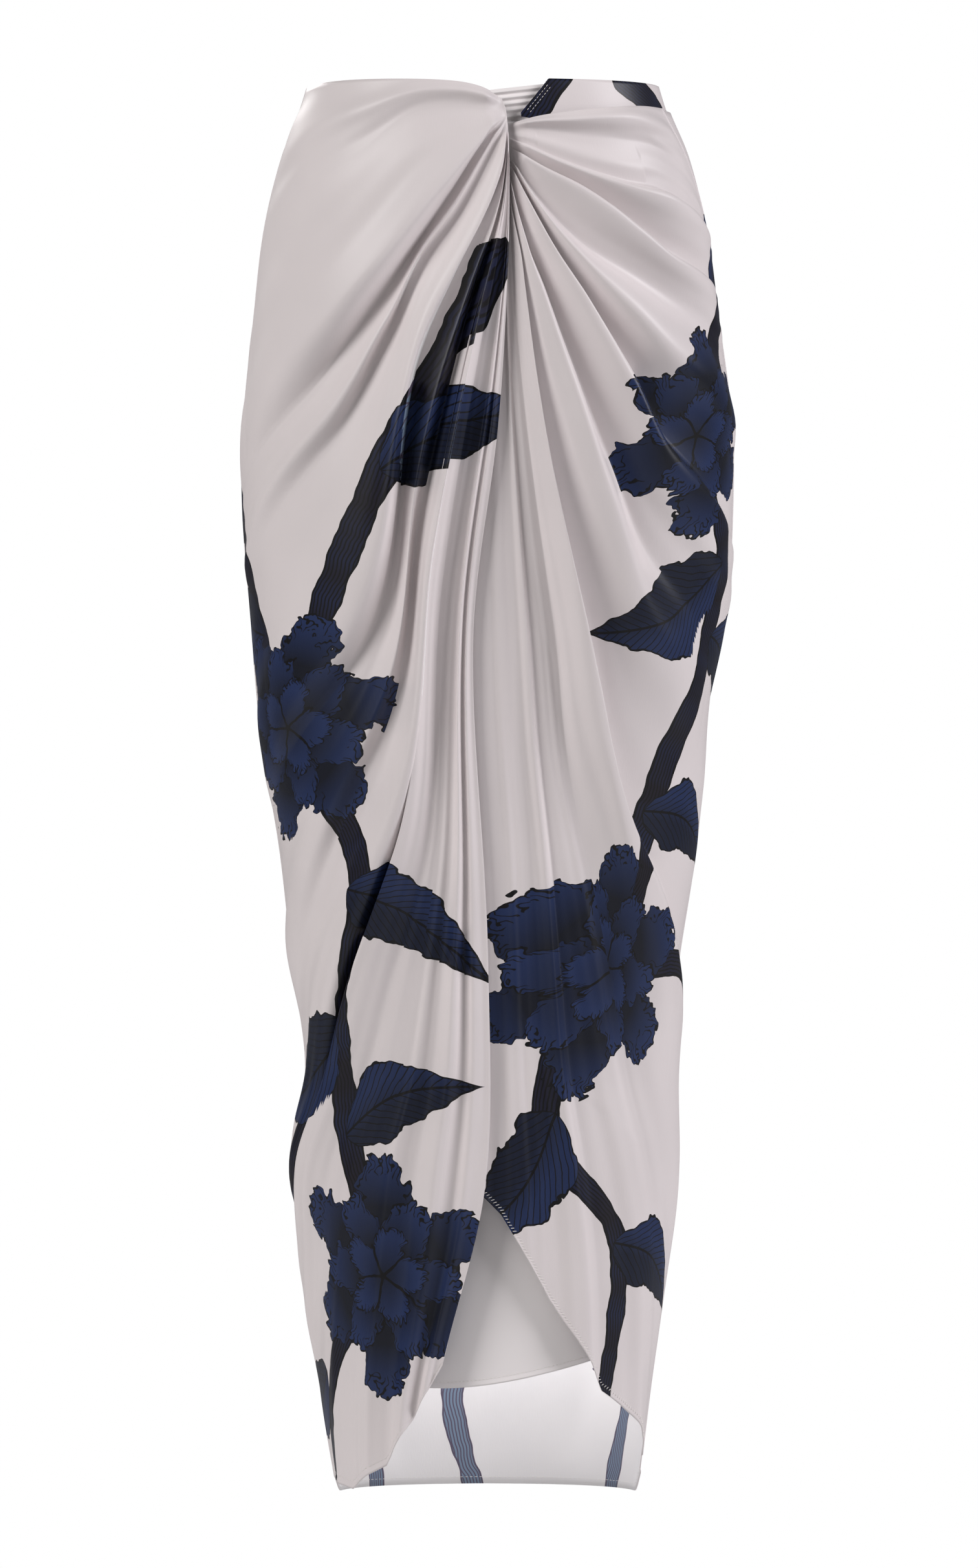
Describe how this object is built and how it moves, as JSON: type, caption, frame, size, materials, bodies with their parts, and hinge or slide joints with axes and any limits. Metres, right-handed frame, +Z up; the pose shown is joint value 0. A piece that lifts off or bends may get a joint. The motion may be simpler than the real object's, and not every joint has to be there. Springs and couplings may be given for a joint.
{
  "type": "wrap skirt",
  "caption": "Long wrap skirt with overlapping fronts gathered into a twist at the waist, filled out as worn and open at waist and hem.",
  "frame": {"origin": "middle of the waistline, 10 mm below the top edge, where a wearer's waist holds the skirt", "axes": "+Z up from the hem to the waist, -Y towards the front with the twist, +X towards the side where the gathered under wrap lies"},
  "size_m": [0.3463, 0.2424, 0.977],
  "materials": {
    "printed_satin": "soft satin sheen, printed with large dark plant shapes",
    "plain_satin": "soft satin, plain pale inner layer",
    "waist_satin": "soft satin, turned and stitched"
  },
  "bodies": {
    "root": {"right_front": "printed_satin", "left_front": "printed_satin", "back": "printed_satin", "underlap": "plain_satin", "waistband": "waist_satin", "waist_tuck": "waist_satin"}
  },
  "joints": []
}
